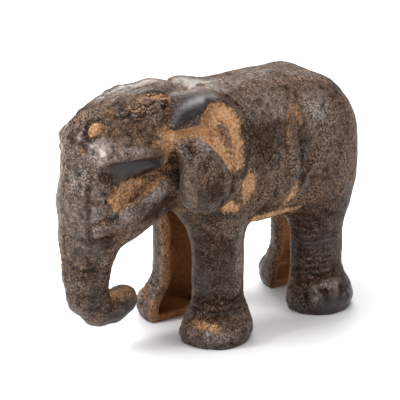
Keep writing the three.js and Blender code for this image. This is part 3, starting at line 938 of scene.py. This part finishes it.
def crack_group():
    """Dark cracks in the scale, from a cell pattern bent by noise."""
    tree, enter, leave, place = new_group("Cracks in scale", {"Mask": 0.0}, {"Cracks": "NodeSocketFloat"})
    bend = put(tree, "ShaderNodeTexNoise", (-900, -300))
    bend.inputs["Scale"].default_value = 400
    tree.links.new(place, bend.inputs["Vector"])
    far = put(tree, "ShaderNodeVectorMath", (-700, -300), operation="SCALE")
    far.inputs["Scale"].default_value = 0.004
    tree.links.new(bend.outputs["Color"], far.inputs[0])
    moved = put(tree, "ShaderNodeVectorMath", (-500, -200), operation="ADD")
    tree.links.new(place, moved.inputs[0])
    tree.links.new(far.outputs[0], moved.inputs[1])
    flat = put(tree, "ShaderNodeVectorMath", (-400, -200), operation="MULTIPLY")
    flat.inputs[1].default_value = (1.0, 0.32, 1.5)
    tree.links.new(moved.outputs[0], flat.inputs[0])
    cells = put(tree, "ShaderNodeTexVoronoi", (-300, -200), feature="DISTANCE_TO_EDGE")
    cells.inputs["Scale"].default_value = 480
    tree.links.new(flat.outputs[0], cells.inputs["Vector"])
    line = steps(tree, cells.outputs["Distance"], 0.14, 0.04, (-100, -200))
    patchy = steps(tree, grain(tree, 0.006, 3, 0.5, (-300, 200), place), 0.38, 0.52, (-100, 200))
    kept = math(tree, "MULTIPLY", line, patchy, (100, 0))
    tree.links.new(math(tree, "MULTIPLY", kept, enter.outputs[0], (300, 0), True), leave.inputs[0])
    return tree


def named(tree, name, place):
    """A mask of the mesh."""
    return put(tree, "ShaderNodeAttribute", place, attribute_name=name).outputs["Fac"]


def use(tree, group, place, **values):
    """A group placed in a tree with its own values."""
    node = put(tree, "ShaderNodeGroup", place, node_tree=group)
    for key, value in values.items():
        feed(tree, node.inputs[key.replace("_", " ")], value)
    return node


def new_material(name):
    """A material with its tree and its one Principled shader."""
    material = bpy.data.materials.new(name)
    material.use_nodes = True
    tree = material.node_tree
    shader = tree.nodes["Principled BSDF"]
    shader.location = (1100, 0)
    tree.nodes["Material Output"].location = (1400, 0)
    return material, tree, shader


def iron_colour(tree, look, cast, stain, wear_and_highlight, dark, black):
    """Mottled brown iron, then dust, wear and painted highlights, black scale and painted shade, rust, the
    rusty hollow and pits.
    """
    mottle = cast.outputs["Mottle"]
    rust = stain.outputs["Rust"]
    inner = named(tree, "inner", (-950, -450))
    # The dark mask pulls the ground towards the dark iron colour: darker patches of iron and painted shade.
    lower = math(tree, "SUBTRACT", mottle, math(tree, "MULTIPLY", dark, 0.46, (-600, -100)), (-500, 0))
    browner = steps(tree, lower, 0.36, 0.60, (-450, 0))
    ground = mix(tree, browner, (*look.shade, 1), (*look.iron, 1), (-250, 0))
    dusted = math(tree, "MULTIPLY", cast.outputs["Dust"], 0.3, (-250, 150))
    dusty = mix(tree, dusted, ground, DUST_COLOUR, (-150, 100))
    # Pale iron where it is smoothed by handling, also laid as painted highlights.
    rubbed_and_highlight = math(tree, "MULTIPLY", wear_and_highlight, steps(tree, mottle, 0.34, 0.58, (-450, -200)), (-250, -200), True)
    pale = mix(tree, rubbed_and_highlight, dusty, (*look.rubbed_and_highlight, 1), (-50, 0))
    deep = mix(tree, black, pale, SCALE_AND_SHADE_COLOUR, (150, 0))
    stained = mix(tree, rust, deep, stain.outputs["Colour"], (350, 0))
    lining = math(tree, "MULTIPLY", inner, 0.75, (350, -400))
    lined = mix(tree, lining, stained, HOLLOW_RUST_COLOUR, (500, 100))
    covered = math(tree, "MULTIPLY", math(tree, "MAXIMUM", rust, inner, (-50, -450)), 0.65, (50, -450))
    calm = math(tree, "ADD", covered, math(tree, "MULTIPLY", black, 0.55, (50, -550)), (200, -450))
    fewer = math(tree, "SUBTRACT", 0.9, calm, (300, -450), True)
    pits = math(tree, "MULTIPLY", cast.outputs["Pits"], fewer, (350, -300))
    return mix(tree, pits, lined, PIT_COLOUR, (650, 0))


def iron_shine(tree, shader, rust, wear_and_highlight, dark, black):
    """Dull iron and rust, with a thin gloss on the places of wear and painted highlight and on the black
    scale.
    """
    smooth = math(tree, "SUBTRACT", 0.47, math(tree, "MULTIPLY", dark, 0.10, (350, -550)), (500, -500))
    rusty = math(tree, "ADD", smooth, math(tree, "MULTIPLY", rust, 0.4, (500, -650)), (650, -500), True)
    tree.links.new(rusty, shader.inputs["Roughness"])
    shader.inputs["Metallic"].default_value = 0.0
    shader.inputs["Specular IOR Level"].default_value = 0.07
    handled = math(tree, "MULTIPLY", wear_and_highlight, 0.65, (350, -900))
    shine = math(tree, "ADD", handled, math(tree, "MULTIPLY", black, 0.42, (350, -1000)), (500, -900))
    waxed = math(tree, "ADD", shine, 0.03, (600, -900))
    dulled = math(tree, "MULTIPLY", rust, 0.5, (600, -1000))
    gloss = math(tree, "SUBTRACT", waxed, dulled, (750, -900), True)
    tree.links.new(gloss, shader.inputs["Coat Weight"])
    shader.inputs["Coat Roughness"].default_value = 0.3


def iron_material(look):
    """The finish of the casting, from its masks and the three node groups."""
    material, tree, shader = new_material("Worn cast iron")
    wear_and_highlight = named(tree, "wear_and_highlight", (-950, 0))
    dark = named(tree, "dark", (-950, -250))
    cast = use(tree, cast_skin_group(), (-700, 0), Pit_depth=look.pit_depth)
    stain = use(tree, rust_group(), (-700, 300), Mask=named(tree, "rust", (-950, 300)), Amount=look.rust)
    split = use(tree, crack_group(), (-700, -400), Mask=named(tree, "crust", (-950, -650)))
    # The black mix follows the dark mask, so it lays black scale and painted shade.
    half_mottle = math(tree, "MULTIPLY", cast.outputs["Mottle"], 0.5, (-400, -350))
    uneven = math(tree, "SUBTRACT", dark, half_mottle, (-250, -350))
    black = steps(tree, uneven, 0.35, 0.75, (-50, -350))
    pitted = iron_colour(tree, look, cast, stain, wear_and_highlight, dark, black)
    cracks = math(tree, "MULTIPLY", split.outputs["Cracks"], 0.9, (650, -200))
    tree.links.new(mix(tree, cracks, pitted, CRACK_COLOUR, (850, 0)), shader.inputs["Base Color"])
    iron_shine(tree, shader, stain.outputs["Rust"], wear_and_highlight, dark, black)
    bump = put(tree, "ShaderNodeBump", (850, -750))
    bump.inputs["Strength"].default_value = 0.9
    bump.inputs["Distance"].default_value = 0.00035
    drop = math(tree, "SUBTRACT", cast.outputs["Height"], split.outputs["Cracks"], (650, -750))
    tree.links.new(drop, bump.inputs["Height"])
    tree.links.new(bump.outputs["Normal"], shader.inputs["Normal"])
    return material


def floor_material(look):
    """The plain pale floor, a little uneven in tone."""
    material, tree, shader = new_material("Pale studio floor")
    place = put(tree, "ShaderNodeTexCoord", (-900, 0)).outputs["Object"]
    tone = grain(tree, 0.25, 2, 0.5, (-600, 0), place)
    colour = mix(tree, tone, (*[v * 0.985 for v in look.floor], 1), (*look.floor, 1), (-300, 0))
    tree.links.new(colour, shader.inputs["Base Color"])
    shader.inputs["Roughness"].default_value = 0.85
    return material


class ElephantSizes(bpy.types.PropertyGroup):
    wall: bpy.props.FloatProperty(
        name="Wall", description="Thickness of the iron wall", default=WALL / 1000, unit="LENGTH")
    cell: bpy.props.FloatProperty(
        name="Surface step", description="Spacing of the mesh on the casting",
        default=SURFACE_STEP / 1000, unit="LENGTH")
    carving: bpy.props.FloatProperty(
        name="Carving", description="Depth of the carved and cast relief, 1 as the real piece",
        default=1.0, min=0, max=2, subtype="FACTOR")


class ElephantLook(bpy.types.PropertyGroup):
    iron: bpy.props.FloatVectorProperty(
        name="Iron", description="Colour of the brown iron",
        default=(0.182, 0.107, 0.067), subtype="COLOR")
    # Colour of the darker iron, also used for painted shade.
    shade: bpy.props.FloatVectorProperty(
        name="Dark iron", description="Colour of the darker patches",
        default=(0.030, 0.012, 0.006), subtype="COLOR")
    # Colour of the places smoothed by handling, also used for the painted highlights.
    rubbed_and_highlight: bpy.props.FloatVectorProperty(
        name="Rubbed iron", description="Colour of raised, handled places",
        default=(0.30, 0.235, 0.205), subtype="COLOR")
    rust: bpy.props.FloatProperty(
        name="Rust", description="How much of the rust shows",
        default=1.0, min=0, max=2, subtype="FACTOR")
    pit_depth: bpy.props.FloatProperty(
        name="Pits", description="Depth of the casting pits",
        default=1.0, min=0, max=3, subtype="FACTOR")
    floor: bpy.props.FloatVectorProperty(
        name="Floor", description="Colour of the floor",
        default=(0.90, 0.90, 0.90), subtype="COLOR")


class ElephantStudio(bpy.types.PropertyGroup):
    distance: bpy.props.FloatProperty(
        name="Camera distance", description="From the camera to the middle of the body",
        default=0.580, unit="LENGTH")
    azimuth: bpy.props.FloatProperty(
        name="Azimuth", description="Camera angle round from straight in front",
        default=0.942478, subtype="ANGLE")
    elevation: bpy.props.FloatProperty(
        name="Elevation", description="Camera angle above the floor", default=0.352557, subtype="ANGLE")


class ELEPHANT_OT_casting(bpy.types.Operator):
    """Build the hollow iron casting with its carving, pits and rust"""
    bl_idname = "elephant.casting"
    bl_label = "Iron casting"

    def execute(self, context):
        sizes = context.scene.elephant_sizes
        cell = sizes.cell * 1000 * 1

        def field(X, y, z):
            return casting(X, y, z, sizes.wall * 1000, sizes.carving)

        points, quads = whole(*surface(field, LATTICE_LOW, LATTICE_HIGH, cell))
        masks = mesh_masks(points, quads, cell)
        mesh = bpy.data.meshes.new("Elephant casting")
        mesh.from_pydata(placed_in_frame(points).tolist(), [], quads.tolist())
        mesh.validate()
        mesh.shade_smooth()
        for name, values in masks.items():
            layer = mesh.attributes.new(name, "FLOAT", "POINT")
            layer.data.foreach_set("value", values.astype(np.float32))
        piece = bpy.data.objects.new("elephant_iron", mesh)
        context.scene.collection.objects.link(piece)
        mesh.materials.append(iron_material(context.scene.elephant_look))
        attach(piece, "root")
        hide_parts("elephant_casting")
        return {"FINISHED"}


class ELEPHANT_OT_studio(bpy.types.Operator):
    """Lay the pale floor and set the soft lights and the camera"""
    bl_idname = "elephant.studio"
    bl_label = "Studio"

    def execute(self, context):
        scene = context.scene
        studio = scene.elephant_studio
        mesh = bpy.data.meshes.new("Studio floor")
        r = FLOOR_HALF
        mesh.from_pydata([(-r, -r, 0), (r, -r, 0), (r, r, 0), (-r, r, 0)], [], [(0, 1, 2, 3)])
        floor = bpy.data.objects.new("studio_floor", mesh)
        scene.collection.objects.link(floor)
        mesh.materials.append(floor_material(scene.elephant_look))
        world = bpy.data.worlds.new("Studio air")
        scene.world = world
        world.use_nodes = True
        air = world.node_tree.nodes["Background"]
        air.inputs["Color"].default_value = (1, 1, 1, 1)
        air.inputs["Strength"].default_value = AIR_BRIGHTNESS
        scene.view_settings.view_transform = "Standard"
        middle = Vector((0, CENTRE_SHIFT / 1000, MIDDLE_HEIGHT))
        for name, place, side, power in SOFTBOXES:
            lamp = bpy.data.lights.new(name, "AREA")
            lamp.shape = "SQUARE"
            lamp.size = side
            lamp.energy = power
            light = bpy.data.objects.new(name, lamp)
            light.location = place
            light.rotation_euler = (middle - Vector(place)).to_track_quat("-Z", "Y").to_euler()
            scene.collection.objects.link(light)
        a, e = studio.azimuth, studio.elevation
        back = Vector((np.sin(a) * np.cos(e), -np.cos(a) * np.cos(e), np.sin(e)))
        lens = bpy.data.cameras.new("Photo camera")
        lens.sensor_width = SENSOR_WIDTH
        lens.lens = FOCAL_LENGTH
        lens.shift_x = PHOTO_SHIFT[0] / PHOTO_WIDTH
        lens.shift_y = PHOTO_SHIFT[1] / PHOTO_WIDTH
        lens.clip_start = 0.01
        camera = bpy.data.objects.new("Photo camera", lens)
        camera.location = middle + back * studio.distance
        camera.rotation_euler = back.to_track_quat("Z", "Y").to_euler()
        scene.collection.objects.link(camera)
        scene.camera = camera
        return {"FINISHED"}


class ELEPHANT_PT_panel(bpy.types.Panel):
    bl_label = "Cast iron elephant"
    bl_idname = "ELEPHANT_PT_panel"
    bl_space_type = "VIEW_3D"
    bl_region_type = "UI"
    bl_category = "Elephant"

    def draw(self, context):
        layout = self.layout
        for name in ("elephant_sizes", "elephant_look", "elephant_studio"):
            group = getattr(context.scene, name)
            for key in group.__annotations__:
                layout.prop(group, key)
        for operator in (ELEPHANT_OT_casting, ELEPHANT_OT_studio):
            layout.operator(operator.bl_idname)


CLASSES = (ElephantSizes, ElephantLook, ElephantStudio,
           ELEPHANT_OT_casting, ELEPHANT_OT_studio, ELEPHANT_PT_panel)
GROUPS = {"elephant_sizes": ElephantSizes, "elephant_look": ElephantLook, "elephant_studio": ElephantStudio}


def register():
    for cls in CLASSES:
        bpy.utils.register_class(cls)
    for name, group in GROUPS.items():
        setattr(bpy.types.Scene, name, bpy.props.PointerProperty(type=group))


def unregister():
    for name in GROUPS:
        delattr(bpy.types.Scene, name)
    for cls in reversed(CLASSES):
        bpy.utils.unregister_class(cls)


def main():
    register()
    bpy.ops.elephant.casting()
    bpy.ops.elephant.studio()


if __name__ == "__main__":
    main()
